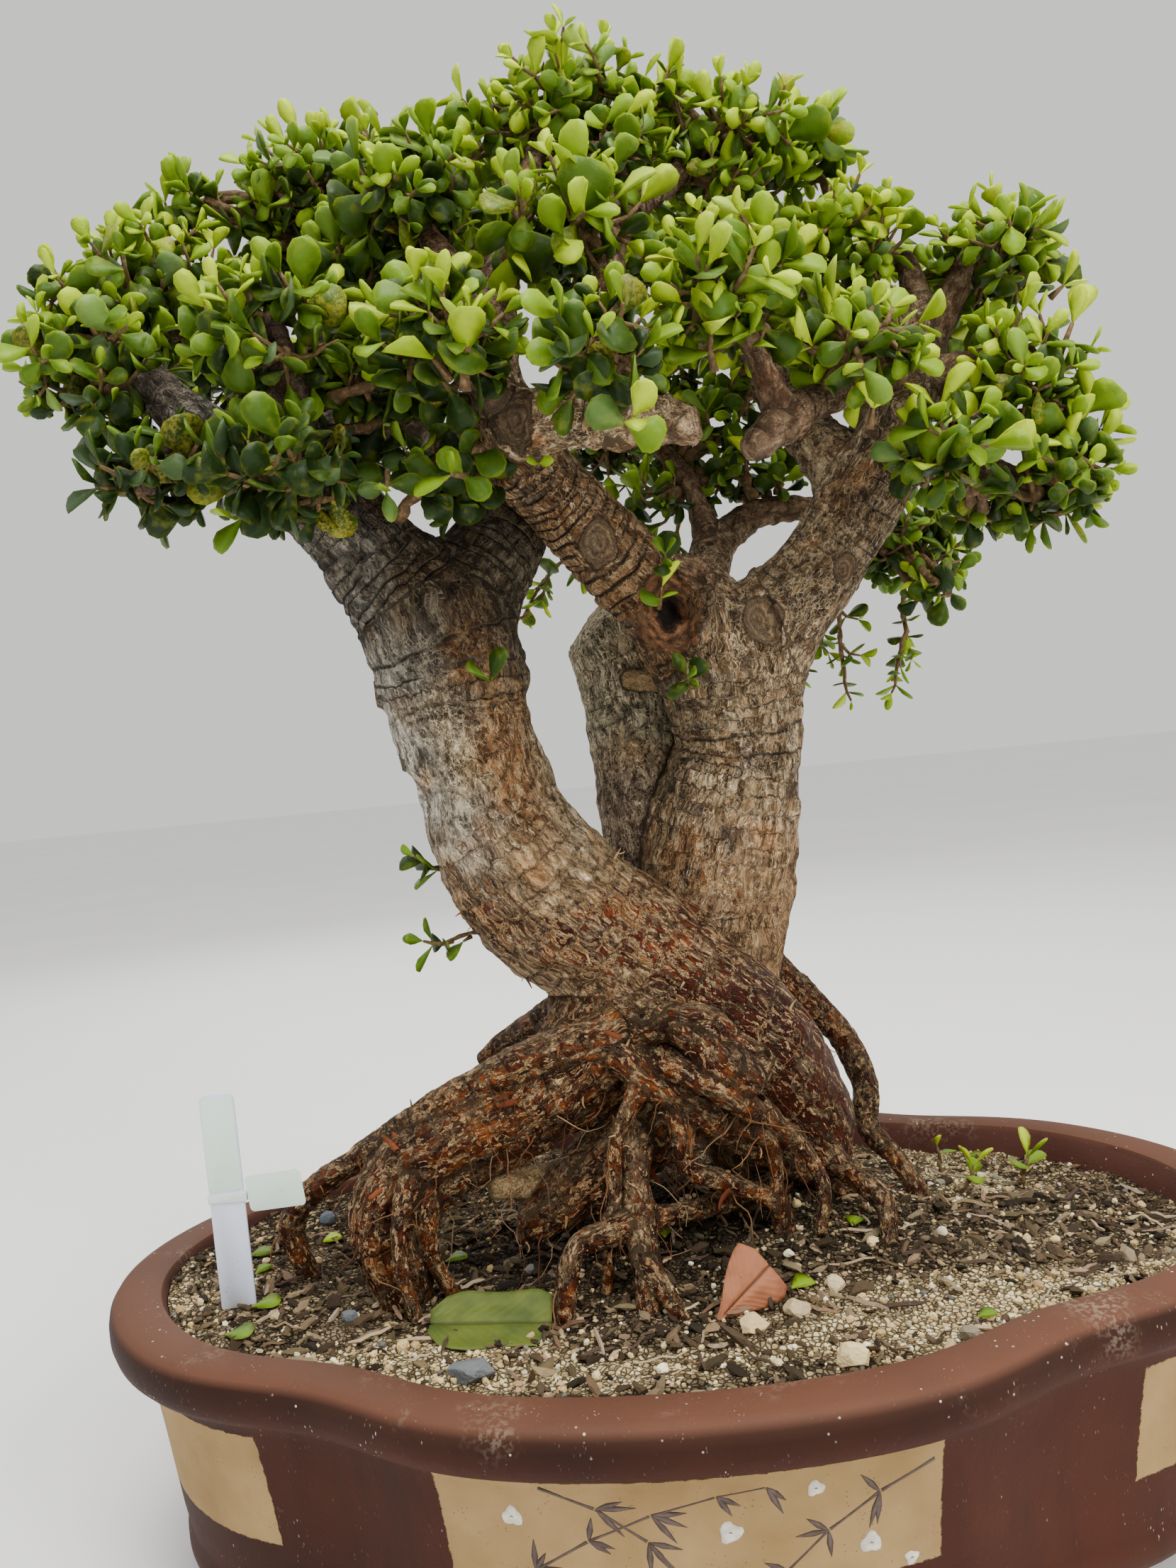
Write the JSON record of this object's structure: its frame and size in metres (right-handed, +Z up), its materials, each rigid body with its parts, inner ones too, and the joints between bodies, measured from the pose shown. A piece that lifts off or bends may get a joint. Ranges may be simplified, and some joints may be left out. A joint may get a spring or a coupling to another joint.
{
  "type": "dwarf jade bonsai",
  "caption": "Twin-trunk dwarf jade bonsai with exposed roots and layered foliage pads, growing in a low four-lobed clay pot on a slotted foot.",
  "frame": {"origin": "middle of the pot's foot, on the surface it stands on", "axes": "+Z up, X along the pot's length, -Y towards the front of the tree"},
  "size_m": [0.56, 0.374, 0.7326],
  "materials": {
    "clay": "unglazed red-brown stoneware, satin",
    "screen": "matte",
    "soil": "loose grit and bark",
    "bark": "rough bark",
    "leaf": "waxy",
    "dry_leaf": "dry matte",
    "pale_stone": "rough",
    "grey_stone": "rough",
    "tag_plastic": "satin",
    "tag_paper": "matte paper",
    "tag_tape": "clear tape"
  },
  "bodies": {
    "root": {"drain_screen_left": "screen", "drain_screen_right": "screen", "fallen_leaf_dry": "dry_leaf", "fallen_leaf_green": "leaf", "foliage_center_back": "leaf", "foliage_crown_back": "leaf", "foliage_crown_back_left": "leaf", "foliage_crown_back_right": "leaf", "foliage_crown_front": "leaf", "foliage_crown_front_left": "leaf", "foliage_crown_inner": "leaf", "foliage_crown_left": "leaf", "foliage_crown_low": "leaf", "foliage_crown_right": "leaf", "foliage_crown_top": "leaf", "foliage_left_back": "leaf", "foliage_left_front": "leaf", "foliage_left_inner": "leaf", "foliage_left_low": "leaf", "foliage_left_middle": "leaf", "foliage_left_tip": "leaf", "foliage_left_top": "leaf", "foliage_left_upper": "leaf", "foliage_right_back": "leaf", "foliage_right_crown": "leaf", "foliage_right_edge": "leaf", "foliage_right_far": "leaf", "foliage_right_front": "leaf", "foliage_right_low": "leaf", "foliage_right_side": "leaf", "foliage_right_top": "leaf", "left_trunk": "bark", "pot_body": "clay", "right_trunk": "bark", "seedling_back": "leaf", "seedling_far": "leaf", "seedling_right": "leaf", "shoot_clover": "leaf", "shoot_front": "leaf", "shoot_knot": "leaf", "shoot_left": "leaf", "shoot_low_left": "leaf", "soil_mass": "soil", "stone_cream": "pale_stone", "stone_grey": "grey_stone", "stone_white_front": "pale_stone", "stone_white_right": "pale_stone", "stone_white_rim": "pale_stone", "tag_band": "tag_tape", "tag_flag": "tag_paper", "tag_label": "tag_paper", "tag_stake": "tag_plastic"}
  },
  "joints": []
}
